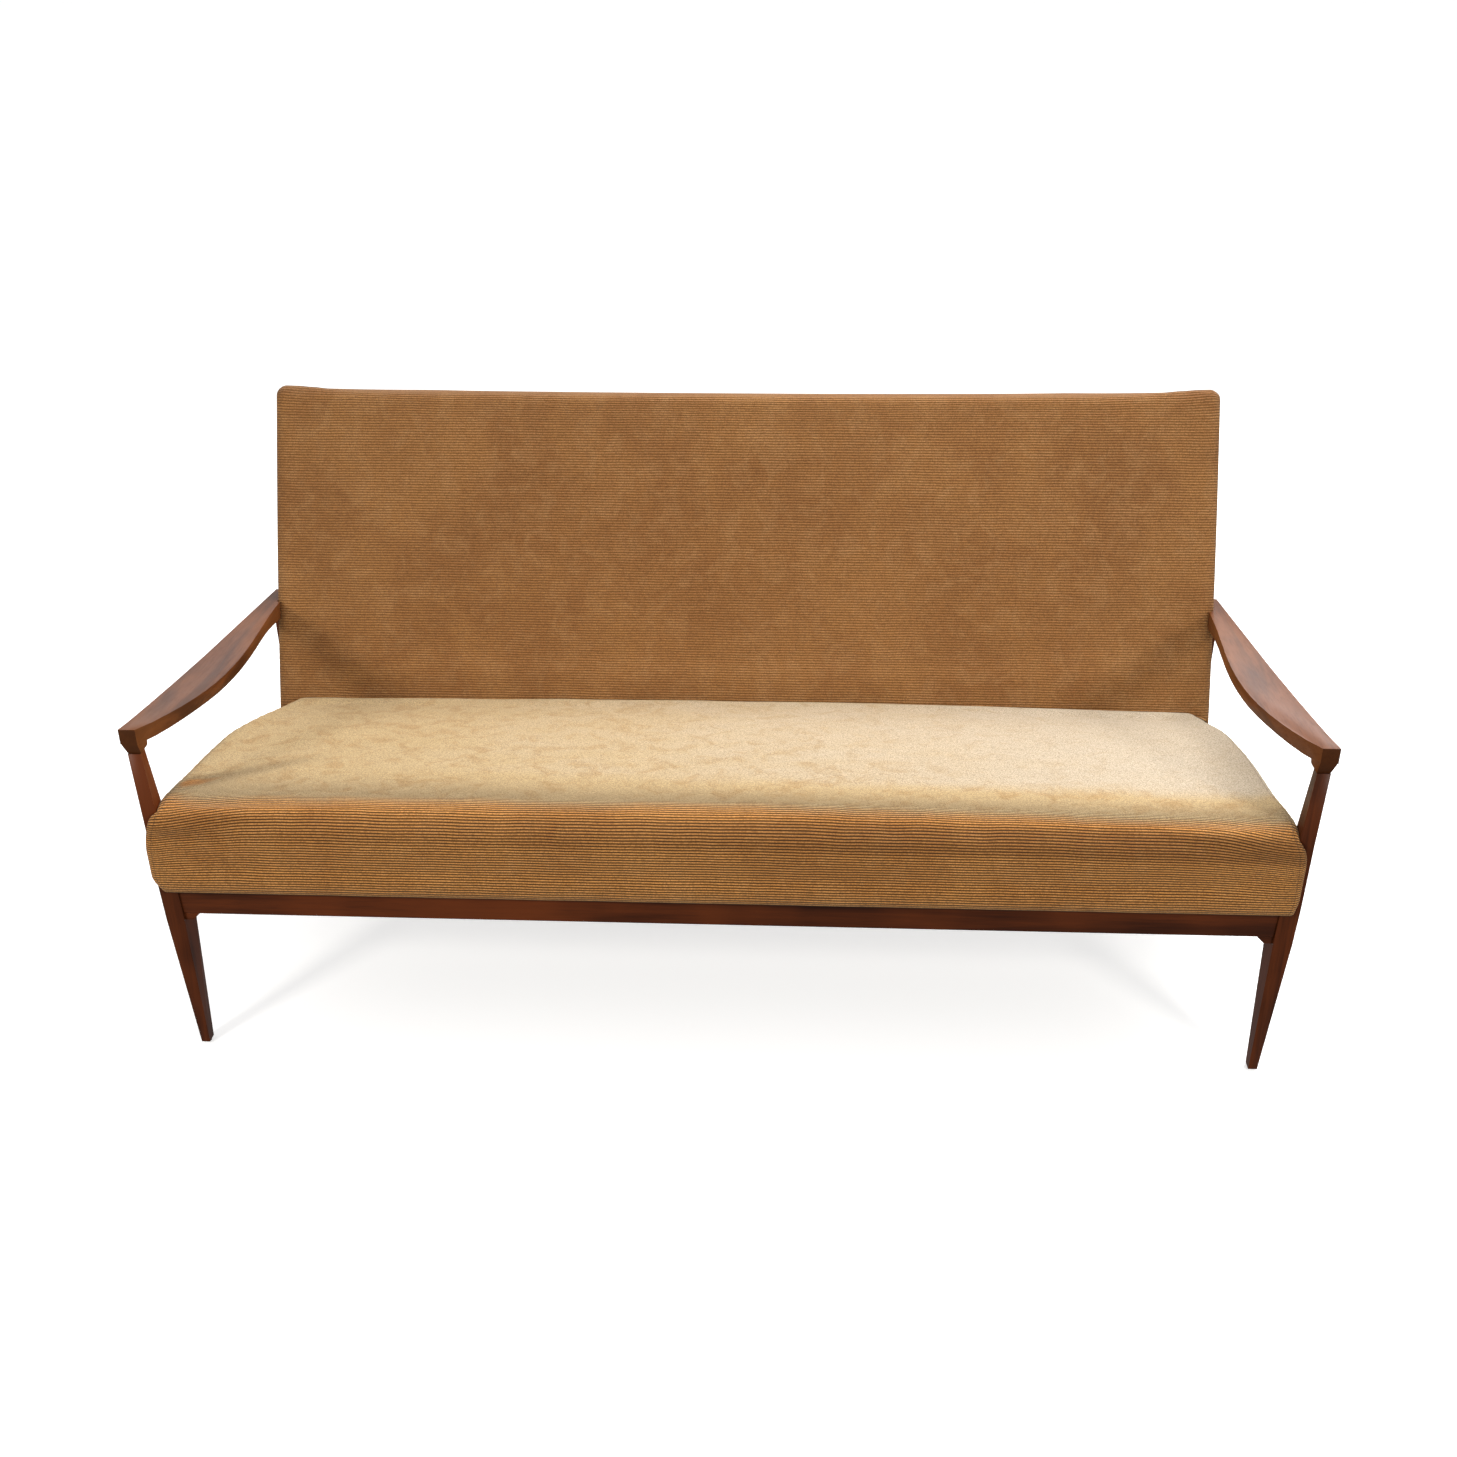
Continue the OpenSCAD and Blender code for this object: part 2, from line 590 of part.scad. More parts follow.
module stile_box(x0, x1, u0, u1) panel_box(x0, x1, u0, u1, stile_v, stile_v + stile_t);
module back_frame_top() placed(pine) stile_box(stile_in - back_top_w / 2,
    back_top_w / 2 - stile_in, frame_top_u - stile_w, frame_top_u);
module back_frame_bottom() placed(pine) difference() {
    stile_box(stile_in - back_low_w / 2 + 4, back_low_w / 2 - stile_in - 4, frame_foot_u,
        frame_foot_u + stile_w);
    upward_screws(foot_screw_at);
}
module back_stile() difference() {
    us = [frame_foot_u + stile_w, frame_top_u - stile_w];
    xs = [for (u = us) back_edge(u) - stile_in];
    through_panel(stile_v, stile_v + stile_t) polygon([[xs[0] - stile_w, us[0]],
        [xs[0], us[0]], [xs[1], us[1]], [xs[1] - stile_w, us[1]]]);
    bolt_room();
}
module back_frame_left() placed(pine) left_hand() back_stile();
module back_frame_right() placed(pine) back_stile();
module back_frame_studs() placed(pine) difference() {
    for (x = [-stud_x, stud_x]) stile_box(x - stile_w / 2, x + stile_w / 2,
        frame_foot_u + stile_w, frame_top_u - stile_w);
    bolt_room();
}
// Elastic straps stretched up the front of the back frame, with two across
module back_webbing() placed(black) {
    for (i = [0:strap_n - 1]) {
        x = lerp(-700, 700, i / (strap_n - 1));
        panel_box(x - strap_w / 2, x + strap_w / 2, frame_foot_u + 6, frame_top_u - 6,
            stile_v - strap_t, stile_v);
    }
    for (u = cross_strap_u) panel_box(40 - back_edge(u), back_edge(u) - 40, u - strap_w / 2,
        u + strap_w / 2, stile_v - strap_t, stile_v);
}

// Bolts at right angles to the panel, from the back cross rail into tee nuts in the frame
module at_bolts() for (x = bolt_x) on_panel() translate([x, bolt_u, 0]) children();
module through(d, v0, v1) translate([0, 0, -v1]) cylinder(d = d, h = v1 - v0, $fn = 48);
module bolt_room() at_bolts() {
    through(nut_d, stile_v - 1, stile_v + nut_l);
    through(nut_flange_d, stile_v - 1, stile_v + washer_t);
    through(bolt_d, stile_v, back_t);
}
module back_bolts() placed(steel) at_bolts() {
    through(bolt_d, stile_v + 1, bolt_seat_v + washer_t + 1);
    through(bolt_d + 6, bolt_seat_v + washer_t, bolt_seat_v + washer_t + 5);
}
module back_washers() placed(steel) at_bolts() difference() {
    through(washer_d, bolt_seat_v, bolt_seat_v + washer_t);
    through(bolt_d, bolt_seat_v - 1, bolt_seat_v + washer_t + 1);
}
module back_tee_nuts() placed(steel) at_bolts() difference() {
    union() {
        through(nut_d, stile_v, stile_v + nut_l);
        through(nut_flange_d, stile_v, stile_v + washer_t);
    }
    through(bolt_d, stile_v - 1, stile_v + nut_l + 1);
}

front_leg_left();
front_leg_right();
rear_leg_left();
rear_leg_right();
armrest_left();
armrest_right();
front_rail();
rear_rail();
side_rail_left();
side_rail_right();
seat_bearer_rail();
back_bearer_rail();
back_cross_rail();
rail_wedges();
corner_blocks();
front_rail_dowels();
rear_rail_dowels();
side_rail_dowels();
bearer_dowels();
back_rail_dowels();
armrest_dowels();
leg_glides();
seat_frame_front();
seat_frame_rear();
seat_frame_left();
seat_frame_right();
seat_frame_spreaders();
seat_springs();
spring_clips();
seat_hessian();
seat_padding();
seat_cover();
seat_dust_cover();
seat_screws();
back_frame_top();
back_frame_bottom();
back_frame_left();
back_frame_right();
back_frame_studs();
back_webbing();
back_hessian();
back_padding();
back_cover();
back_rear_cloth();
back_bolts();
back_washers();
back_tee_nuts();
back_foot_screws();
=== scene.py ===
"""A sofa with wooden legs: corduroy seat and back on a stained walnut frame.

Sizes written as x, depth and height are in millimetres. Depth is measured backwards
from the front rail's face and height from the floor.
"""
import json
import math

import bmesh
import bpy
import numpy as np
from mathutils import Matrix, Vector, noise

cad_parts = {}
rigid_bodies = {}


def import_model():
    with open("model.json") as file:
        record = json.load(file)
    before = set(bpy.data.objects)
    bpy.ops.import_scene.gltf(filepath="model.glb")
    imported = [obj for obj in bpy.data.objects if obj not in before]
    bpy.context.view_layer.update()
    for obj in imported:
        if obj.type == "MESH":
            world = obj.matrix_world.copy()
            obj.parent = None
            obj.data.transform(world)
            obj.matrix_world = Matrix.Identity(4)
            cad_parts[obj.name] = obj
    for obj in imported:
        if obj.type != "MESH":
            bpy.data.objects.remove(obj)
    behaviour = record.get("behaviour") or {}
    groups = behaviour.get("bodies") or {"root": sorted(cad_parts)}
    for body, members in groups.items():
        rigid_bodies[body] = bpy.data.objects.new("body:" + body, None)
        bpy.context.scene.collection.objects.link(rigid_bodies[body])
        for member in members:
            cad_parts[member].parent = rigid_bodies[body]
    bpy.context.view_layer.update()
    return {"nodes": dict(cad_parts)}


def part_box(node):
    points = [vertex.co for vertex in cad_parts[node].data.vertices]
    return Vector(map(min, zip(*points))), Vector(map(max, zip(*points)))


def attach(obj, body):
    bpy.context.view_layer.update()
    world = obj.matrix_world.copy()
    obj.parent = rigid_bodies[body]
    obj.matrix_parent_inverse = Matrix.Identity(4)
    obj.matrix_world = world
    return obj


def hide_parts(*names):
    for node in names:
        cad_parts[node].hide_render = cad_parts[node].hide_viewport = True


for leftover in list(bpy.data.objects):
    bpy.data.objects.remove(leftover, do_unlink=True)
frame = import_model()
RAIL_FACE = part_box("front_rail")[0].y
RAIL_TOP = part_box("side_rail_left")[1].z * 1000

WALE = 0.0046  # width of one corduroy rib, in metres

SEAT_HALF, NOSE_HALF = 856.0, 878.0  # behind the front legs' faces and in front of them
SEAT_SIDE = [  # depth, height and corner radius, from the bottom front corner upwards
    (-22, 297, 12), (-26, 406, 60), (12, 453, 56), (160, 442, 500), (320, 424, 500),
    (450, 403, 300), (575, 376, 14), (551, 299, 12)]
SEAT_CORE = (70, 480, 352)  # the cap's middle line: its two depths and its height

BACK_LEAN = math.radians(18.5)
BACK_FOOT = (579, 376)  # depth and height where the back's front face meets the seat
BACK_TOP, BACK_LOW, BACK_THICK = 539.9, -60.0, 78.0
BACK_HALF_LOW, BACK_HALF_TOP = 845.0, 826.0
BACK_SHIFT = 2.0  # the cover sits this far towards the sofa's right-hand end
BACK_SIDE = [  # distance up the back and distance behind its front face
    (BACK_LOW, 0, 10), (BACK_TOP, 0, 19), (BACK_TOP, BACK_THICK, 20),
    (BACK_LOW, BACK_THICK, 10)]
BACK_CORE = (-25, 498, 39)

MIDDLE_STEP = 13  # the widest distance between two rows of points across a cover
CAP_RIBS = 3.0  # keeps the side faces' rib coordinates clear of the others
BLOWN_FRAMES = 20


# ---------------------------------------------------------------- materials


class Nodes:
    """Short names for building one material's nodes."""

    def __init__(self, name):
        self.material = bpy.data.materials.new(name)
        self.material.use_nodes = True
        self.tree = self.material.node_tree
        self.tree.nodes.clear()
        self.shader = self.add("BsdfPrincipled")
        output = self.add("OutputMaterial")
        self.tree.links.new(self.shader.outputs[0], output.inputs[0])

    def add(self, kind, **settings):
        made = self.tree.nodes.new("ShaderNode" + kind)
        for key, value in settings.items():
            setattr(made, key, value)
        return made

    def feed(self, socket, value):
        if isinstance(value, bpy.types.NodeSocket):
            self.tree.links.new(value, socket)
        else:
            socket.default_value = value

    def math(self, operation, a, b=0.0):
        made = self.add("Math", operation=operation)
        self.feed(made.inputs[0], a)
        self.feed(made.inputs[1], b)
        return made.outputs[0]

    def mix(self, factor, a, b):
        made = self.add("Mix", data_type="RGBA")
        self.feed(made.inputs[0], factor)
        self.feed(made.inputs[6], a)
        self.feed(made.inputs[7], b)
        return made.outputs[2]

    def place(self, scale=(1, 1, 1)):
        mapping = self.add("Mapping")
        self.feed(mapping.inputs["Vector"], self.add("TexCoord").outputs["Object"])
        mapping.inputs["Scale"].default_value = scale
        return mapping.outputs[0]

    def noise(self, vector, scale, detail=3.0, rough=0.55, distortion=0.0):
        made = self.add("TexNoise")
        self.feed(made.inputs["Vector"], vector)
        made.inputs["Scale"].default_value = scale
        made.inputs["Detail"].default_value = detail
        made.inputs["Roughness"].default_value = rough
        made.inputs["Distortion"].default_value = distortion
        return made.outputs[0]

    def ramp(self, factor, low, high):
        """Rises smoothly from 0 at low to 1 at high."""
        made = self.add("MapRange", interpolation_type="SMOOTHSTEP")
        self.feed(made.inputs["Value"], factor)
        made.inputs["From Min"].default_value = low
        made.inputs["From Max"].default_value = high
        return made.outputs[0]

    def bump(self, height, distance, strength=1.0, under=None):
        made = self.add("Bump")
        made.inputs["Strength"].default_value = strength
        made.inputs["Distance"].default_value = distance
        self.feed(made.inputs["Height"], height)
        if under is not None:
            self.feed(made.inputs["Normal"], under)
        return made.outputs[0]

    def finish(self, colour, roughness, normal=None, **fixed):
        self.feed(self.shader.inputs["Base Color"], colour)
        self.feed(self.shader.inputs["Roughness"], roughness)
        if normal is not None:
            self.feed(self.shader.inputs["Normal"], normal)
        for key, value in fixed.items():
            self.shader.inputs[key.replace("_", " ")].default_value = value
        return self.material


BLACK = (0, 0, 0, 1)


def shade(red, green, blue):
    """An sRGB colour from 0 to 255 as linear light."""
    def linear(value):
        value /= 255
        return value / 12.92 if value < 0.04045 else ((value + 0.055) / 1.055) ** 2.4
    return linear(red), linear(green), linear(blue), 1.0


def wood(name, axis, tones, grain, roughness, gloss=0.4):
    """Timber whose grain runs along x, y or z (axis 0, 1 or 2), darker on its end grain.

    tones are its pale, middle and dark sRGB colours."""
    pale, mid, dark = (shade(*tone) for tone in tones)
    n = Nodes(name)
    stretch = [1.0, 1.0, 1.0]
    stretch[axis] = 0.06
    along = n.place(stretch)
    figure = n.noise(along, 24 * grain, 4, 0.6, 0.8)
    fibre = n.noise(along, 320 * grain, 3, 0.7)
    patch = n.noise(n.place(), 5, 2)
    streak = n.ramp(figure, 0.36, 0.66)
    base = n.mix(streak, mid, dark)
    base = n.mix(n.math("MULTIPLY", n.ramp(fibre, 0.45, 0.75), 0.5), base, dark)
    base = n.mix(n.math("MULTIPLY", n.ramp(patch, 0.4, 0.75), 0.45), base, pale)
    facing = n.add("SeparateXYZ")
    n.feed(facing.inputs[0], n.add("TexCoord").outputs["Normal"])
    ends = n.ramp(n.math("ABSOLUTE", facing.outputs[axis]), 0.72, 0.94)
    base = n.mix(n.math("MULTIPLY", ends, 0.7), base, n.mix(0.5, dark, BLACK))
    polish = n.math("ADD", n.math("MULTIPLY", fibre, 0.16), roughness - 0.08)
    height = n.math("ADD", n.math("MULTIPLY", fibre, 0.7), n.math("MULTIPLY", figure, 0.3))
    return n.finish(base, polish, n.bump(height, 0.0003, 0.35),
                    Specular_IOR_Level=gloss, IOR=1.5)


def corduroy(name, even, dull, lit, groove_shade, contrast):
    """Ribbed pile: tan, with painted sheen that makes it pale where it faces up and painted
    shade on rolled edges.

    The cover's painted sheen attribute says how much painted sheen each point gets (below 0, how
    much painted shade) and its seam attribute how far away the nearest seam is, in metres."""
    n = Nodes(name)
    uv = n.add("UVMap", uv_map="Wales").outputs[0]
    split = n.add("SeparateXYZ")
    n.feed(split.inputs[0], uv)
    wander = n.math("MULTIPLY", n.math("SUBTRACT", n.noise(uv, 9, 2), 0.5), 0.004)
    across = n.math("ADD", split.outputs[1], wander)
    wave = n.math("ABSOLUTE", n.math("SINE", n.math("MULTIPLY", across, math.pi / WALE)))
    rib = n.math("POWER", wave, 1.6)

    nap = n.add("Attribute", attribute_name="nap").outputs["Fac"]
    seam = n.add("Attribute", attribute_name="seam").outputs["Fac"]
    solid = n.place()
    cloud = n.noise(solid, 5.5, 3, 0.6, 0.6)
    patch = n.noise(solid, 26, 4, 0.65, 0.8)
    fleck = n.noise(solid, 480, 3, 0.8)

    ridge = n.mix(n.ramp(cloud, 0.32, 0.68), even, dull)
    ridge = n.mix(n.math("MULTIPLY", n.ramp(patch, 0.42, 0.7), 0.4), ridge, lit)
    # painted shade in the rib grooves: contrast darkens the grooves towards the groove colour
    groove = n.mix(contrast, ridge, groove_shade)
    # painted shade: where the painted sheen attribute is below 0, on the seat's roll and the
    # back's top edge, the ribs are darkened
    painted_shade = n.math("MULTIPLY", n.ramp(n.math("MULTIPLY", nap, -1.0), 0.0, 0.3), 0.62)
    ridge = n.mix(painted_shade, ridge, shade(112, 70, 40))

    # painted sheen: the pale colour of the pile where it faces up
    bright = sheen_lit_pile(n, nap, patch)
    drift = n.math("MULTIPLY", n.math("SUBTRACT", cloud, 0.5), 0.12)
    lit_amount = n.math("ADD", nap, drift)
    # the rib tops take the painted sheen before the grooves do: a painted highlight on the ribs
    # at the crest
    ridge = n.mix(n.ramp(lit_amount, 0.01, 0.17), ridge, bright)
    groove = n.mix(n.ramp(lit_amount, 0.06, 0.75), groove, bright)
    colour = n.mix(rib, groove, ridge)
    stray = n.mix(0.68, colour, shade(72, 44, 22))
    colour = n.mix(n.math("MULTIPLY", n.ramp(fleck, 0.42, 0.6), 0.75), colour, stray)
    line = n.math("SUBTRACT", 1.0, n.ramp(seam, 0.0004, 0.0022))
    colour = n.mix(n.math("MULTIPLY", line, 0.55), colour, shade(84, 54, 30))

    depth = n.math("SUBTRACT", 1.0, n.math("MULTIPLY", n.ramp(lit_amount, 0.1, 0.9), 0.8))
    relief = n.bump(n.math("MULTIPLY", rib, depth), 0.0012, 0.8)
    relief = n.bump(fleck, 0.0004, 0.5, relief)
    relief = n.bump(n.math("SUBTRACT", 1.0, line), 0.0012, 0.8, relief)
    return n.finish(colour, 0.92, relief, Sheen_Weight=0.22, Sheen_Roughness=0.45,
                    Sheen_Tint=shade(245, 226, 196), Specular_IOR_Level=0.18)


def sheen_lit_pile(n, nap, patch):
    """The painted-sheen colour of pile that faces up: pale, whiter where the painted sheen is
    strongest, with golden and brownish patches.
    """
    brush = n.noise(n.place((0.5, 1, 1)), 9, 4, 0.65, 0.4)
    # more painted sheen makes the colour whiter
    sheen_whiteness = n.ramp(n.math("ADD", nap, n.math("MULTIPLY", brush, 0.3)), 0.75, 1.2)
    bright = n.mix(sheen_whiteness, shade(203, 176, 130), shade(208, 193, 170))
    golden = n.math("MULTIPLY", n.math("SUBTRACT", 1.0, sheen_whiteness), n.ramp(patch, 0.46, 0.7))
    bright = n.mix(n.math("MULTIPLY", golden, 0.6), bright, shade(184, 144, 90))
    brownish = n.math("MULTIPLY", n.ramp(patch, 0.45, 0.75), 0.25)
    return n.mix(brownish, bright, shade(172, 145, 104))


def woven(name, light, dark, pitch):
    """Plain weave on all three planes, with slubs."""
    n = Nodes(name)
    split = n.add("SeparateXYZ")
    n.feed(split.inputs[0], n.place())
    turn = 2 * math.pi / pitch
    waves = [n.math("SINE", n.math("MULTIPLY", split.outputs[i], turn)) for i in range(3)]
    weave = n.math("ADD", n.math("MULTIPLY", waves[0], waves[2]),
                   n.math("MULTIPLY", waves[0], waves[1]))
    slub = n.noise(n.place((1, 1, 6)), 60, 3, 0.6)
    tone = n.math("ADD", n.math("MULTIPLY", weave, 0.18), slub)
    colour = n.mix(n.ramp(tone, 0.3, 0.75), dark, light)
    return n.finish(colour, 0.9, n.bump(tone, 0.0004, 0.6), Sheen_Weight=0.1,
                    Specular_IOR_Level=0.2)


def foam(name):
    n = Nodes(name)
    cells = n.add("TexVoronoi")
    n.feed(cells.inputs["Vector"], n.place())
    cells.inputs["Scale"].default_value = 500
    tone = n.noise(n.place(), 14, 2)
    colour = n.mix(tone, shade(226, 205, 150), shade(206, 180, 120))
    return n.finish(colour, 0.95, n.bump(cells.outputs["Distance"], 0.0008, 0.6))


def metal(name, tint):
    n = Nodes(name)
    scratch = n.noise(n.place((1, 1, 5)), 300, 3, 0.6)
    colour = n.mix(n.ramp(scratch, 0.3, 0.8), tint, shade(150, 146, 138))
    rough = n.math("ADD", n.math("MULTIPLY", scratch, 0.2), 0.25)
    return n.finish(colour, rough, n.bump(scratch, 0.0001, 0.3), Metallic=1.0)


def nylon(name):
    n = Nodes(name)
    scuff = n.noise(n.place(), 120, 3, 0.6)
    colour = n.mix(scuff, shade(58, 50, 44), shade(36, 31, 28))
    return n.finish(colour, n.math("ADD", n.math("MULTIPLY", scuff, 0.2), 0.35),
                    n.bump(scuff, 0.0002, 0.4))


def floor_paint(name):
    n = Nodes(name)
    tone = n.noise(n.place(), 0.8, 3)
    colour = n.mix(tone, (0.8, 0.8, 0.8, 1), (0.84, 0.84, 0.84, 1))
    return n.finish(colour, 0.9, Specular_IOR_Level=0.1, Emission_Color=(1, 1, 1, 1),
                    Emission_Strength=0.55)


def timber(name, tones, grain, roughness, gloss=0.4):
    """The same wood with its grain along x, along y and along z."""
    return [wood(name + "_" + axis, i, tones, grain, roughness, gloss)
            for i, axis in enumerate("xyz")]


WALNUT = timber("walnut", [(122, 60, 26), (88, 42, 18), (48, 22, 11)], 1.0, 0.36, 0.13)
# the armrests and the frame are one walnut in lit and shaded copies: the armrests' copy has
# lighter tones, painted light on the arms, and its own gloss
LIT_ARM_WALNUT = wood("walnut_arm_lit", 1, [(138, 84, 44), (110, 62, 30), (70, 37, 18)], 1.0, 0.34, 0.1)
BEECH = timber("beech", [(212, 172, 128), (196, 152, 108), (168, 122, 82)], 1.6, 0.55)
PINE = timber("pine", [(228, 196, 146), (214, 178, 124), (184, 138, 84)], 0.8, 0.62)
# the fourth colour is the painted shade in the rib grooves, darker and stronger on the seat
BACK_PILE = corduroy("corduroy_back", shade(182, 130, 77), shade(166, 115, 67),
                     shade(200, 152, 101), shade(78, 49, 26), 0.62)
SEAT_PILE = corduroy("corduroy_seat", shade(232, 163, 88), shade(212, 144, 74),
                     shade(244, 178, 106), shade(34, 20, 10), 1.0)
FINISH = {
    "walnut_wood": WALNUT, "beech": BEECH, "pine": PINE,
    "glide": nylon("glide_nylon"), "zinc_steel": metal("zinc_plate", shade(196, 194, 186)),
    "hessian": woven("jute_hessian", shade(190, 158, 108), shade(120, 92, 56), 0.003),
    "padding": foam("seat_foam"), "corduroy": BACK_PILE, "rear_cloth": BACK_PILE,
    "dust_cloth": woven("dust_lining", shade(62, 58, 54), shade(34, 32, 30), 0.0014),
    "webbing": woven("jute_webbing", shade(186, 150, 96), shade(98, 70, 44), 0.004),
}


def finish_for(node):
    """The finish for a CAD part's slot, with wood grain along its longest side."""
    finish = FINISH[frame["nodes"][node].material_slots[0].material.name.split(".")[0]]
    if not isinstance(finish, list):
        return finish
    if "leg" in node:
        return finish[2]
    if "armrest" in node and finish is WALNUT:
        return LIT_ARM_WALNUT
    low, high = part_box(node)
    size = [high[i] - low[i] for i in range(3)]
    return finish[size.index(max(size))]


# ---------------------------------------------------------------- wooden parts


def eased(node, width):
    """A copy of a CAD part with its sharp edges rounded off, in its place."""
    mesh = frame["nodes"][node].data.copy()
    shape = bmesh.new()
    shape.from_mesh(mesh)
    bmesh.ops.remove_doubles(shape, verts=shape.verts, dist=1e-6)
    bmesh.ops.dissolve_limit(shape, angle_limit=math.radians(0.4), verts=shape.verts,
                             edges=shape.edges)
    limit = math.radians(30)
    sharp = [e for e in shape.edges if e.is_manifold and e.calc_face_angle(0) > limit]
    bmesh.ops.bevel(shape, geom=sharp, offset=width, offset_type="OFFSET", segments=3,
                    profile=0.5, affect="EDGES", clamp_overlap=True)
    shape.to_mesh(mesh)
    shape.free()
    mesh.shade_smooth()
    mesh.set_sharp_from_angle(angle=math.radians(28))
    add_piece(node + "_wood", mesh, finish_for(node), node)


def add_piece(name, mesh, material, *nodes):
    """Shows a mesh in one material, in place of the named CAD parts."""
    mesh.materials.clear()
    mesh.materials.append(material)
    piece = bpy.data.objects.new(name, mesh)
    bpy.context.scene.collection.objects.link(piece)
    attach(piece, "root")
    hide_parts(*nodes)
    return piece


# ---------------------------------------------------------------- padded shapes


def smooth(low, high, value):
    """Rises smoothly from 0 at low to 1 at high."""
    t = np.clip((value - low) / (high - low), 0, 1)
    return t * t * (3 - 2 * t)


def outline(corners, spacing):
    """Evenly spaced points round a closed shape with rounded corners.

    spacing has one wanted distance for each side. Returns the points, their outward
    directions and their distances from the first one."""
    path = []
    count = len(corners)
    for i, (a, b, radius) in enumerate(corners):
        here = np.array((a, b), float)
        before = np.array(corners[i - 1][:2], float)
        after = np.array(corners[(i + 1) % count][:2], float)
        u = (before - here) / np.linalg.norm(before - here)
        w = (after - here) / np.linalg.norm(after - here)
        half = math.acos(np.clip(np.dot(u, w), -1, 1)) / 2
        reach = radius / math.tan(half)
        middle = here + (u + w) / np.linalg.norm(u + w) * radius / math.sin(half)
        start, end = here + u * reach - middle, here + w * reach - middle
        turn = math.pi - 2 * half
        for k in range(13):
            t = k / 12
            p = (math.sin((1 - t) * turn) * start + math.sin(t * turn) * end) / math.sin(turn)
            path.append((*(middle + p), i))
    path = np.array(path)
    sides = path[:, 2].astype(int)
    closed = np.vstack([path[:, :2], path[:1, :2]])
    steps = np.linalg.norm(np.diff(closed, axis=0), axis=1)
    length = np.concatenate([[0], np.cumsum(steps)])
    density = np.array([1 / spacing[s] for s in sides]) * steps
    amount = np.concatenate([[0], np.cumsum(density)])
    wanted = int(round(amount[-1] / 4)) * 4
    marks = np.linspace(0, amount[-1], wanted, endpoint=False)
    along = np.interp(marks, amount, length)
    points = np.stack([np.interp(along, length, closed[:, k]) for k in (0, 1)], 1)
    tangent = np.roll(points, -1, 0) - np.roll(points, 1, 0)
    tangent /= np.linalg.norm(tangent, axis=1)[:, None]
    outward = np.stack([tangent[:, 1], -tangent[:, 0]], 1)
    if np.sum(outward * (points - points.mean(0))) < 0:
        outward = -outward
    return points, outward, np.concatenate([along, [length[-1]]])


def stations(half, radius):
    """How far each slice lies inside the side face, from one side to the middle."""
    out = [0, 0.3, 1, 2.2, 4, 6.5, 10, 14.5, 20, 27, 35, 43, radius]
    step = 9.0
    while out[-1] < half:
        out.append(out[-1] + step)
        step = min(step * 1.25, MIDDLE_STEP)
    ratio = (half - radius) / (out[-1] - radius)
    return [e if e <= radius else radius + (e - radius) * ratio for e in out]


def lay_out(corners, spacing, half, radius, core, rings):
    """Rows of points for a padded box: each is a loop round it at one place across.

    radius gives how round the side's edge is at each point of the loop. The side faces
    are rings that shrink towards core. Returns arrays rows x loop of x, a and b, each
    row's share of the way over the side face and distance from it, the ribs' distances
    along the loop and how far upwards or backwards each point faces."""
    points, outward, along = outline(corners, spacing)
    bevel = radius(points, outward)
    ins = stations(half, 52)
    rows = [(-1, 0.0, share) for share in reversed(rings)]
    rows += [(-1, e, 0.0) for e in ins]
    rows += [(1, e, 0.0) for e in reversed(ins[:-1])]
    rows += [(1, 0.0, share) for share in rings]
    x, a, b = [], [], []
    for side, e, share in rows:
        bend = bevel - np.sqrt(bevel ** 2 - np.maximum(bevel - e, 0) ** 2)
        loop = points - outward * bend[:, None]
        middle_a = np.clip(loop[:, 0], core[0], core[1])
        x.append(np.full(len(loop), side * (half - e)))
        a.append(loop[:, 0] + (middle_a - loop[:, 0]) * share)
        b.append(loop[:, 1] + (core[2] - loop[:, 1]) * share)
    caps = np.array([r[2] for r in rows])[:, None]
    insets = np.array([r[1] for r in rows])[:, None]
    facing = np.broadcast_to(outward[:, 1], (len(rows), len(points)))
    ribs = np.broadcast_to(along, (len(rows), len(along)))
    return np.array(x), np.array(a), np.array(b), caps, insets, ribs, facing


def in_frame(x, depth, height):
    """Points in metres in the shared frame."""
    points = np.stack([x, depth, height], 2) / 1000
    points[:, :, 1] += RAIL_FACE
    return points


def grid_faces(rows, loop):
    """The quads between neighbouring rows, each row being a closed loop."""
    return [(i * loop + j, i * loop + (j + 1) % loop,
             (i + 1) * loop + (j + 1) % loop, (i + 1) * loop + j)
            for i in range(rows - 1) for j in range(loop)]


def rib_coordinates(points, ribs, caps, ends):
    """Each face corner's place in the cloth, where the ribs are spaced along the second
    number: round the loop on the cover itself, and upright on the side faces."""
    rows, loop = points.shape[:2]
    flat = points.reshape(-1, 3)
    corners = []
    for i in range(rows - 1):
        cap = caps[i] > 0 or caps[i + 1] > 0
        for j in range(loop):
            for r, c in ((i, j), (i, j + 1), (i + 1, j + 1), (i + 1, j)):
                spot = flat[r * loop + c % loop]
                if cap:
                    corners.append((spot[1] + CAP_RIBS, spot[2]))
                else:
                    corners.append((spot[0], ribs[r, c] / 1000))
    for end in ends:
        corners.extend((flat[k][1] + CAP_RIBS, flat[k][2]) for k in end)
    return corners


def skin(name, points, ribs, caps, attributes):
    """A closed mesh through rows x loop points, with rib coordinates and attributes."""
    rows, loop = points.shape[:2]
    ends = [tuple(reversed(range(loop))), tuple(range((rows - 1) * loop, rows * loop))]
    mesh = bpy.data.meshes.new(name)
    mesh.from_pydata(points.reshape(-1, 3).tolist(), [], grid_faces(rows, loop) + ends)
    wales = mesh.uv_layers.new(name="Wales")
    wales.data.foreach_set("uv", np.array(rib_coordinates(points, ribs, caps, ends)).ravel())
    for key, values in attributes.items():
        layer = mesh.attributes.new(key, "FLOAT", "POINT")
        layer.data.foreach_set("value", values.ravel())
    shape = bmesh.new()
    shape.from_mesh(mesh)
    bmesh.ops.recalc_face_normals(shape, faces=shape.faces)
    shape.to_mesh(mesh)
    shape.free()
    mesh.shade_smooth()
    return mesh


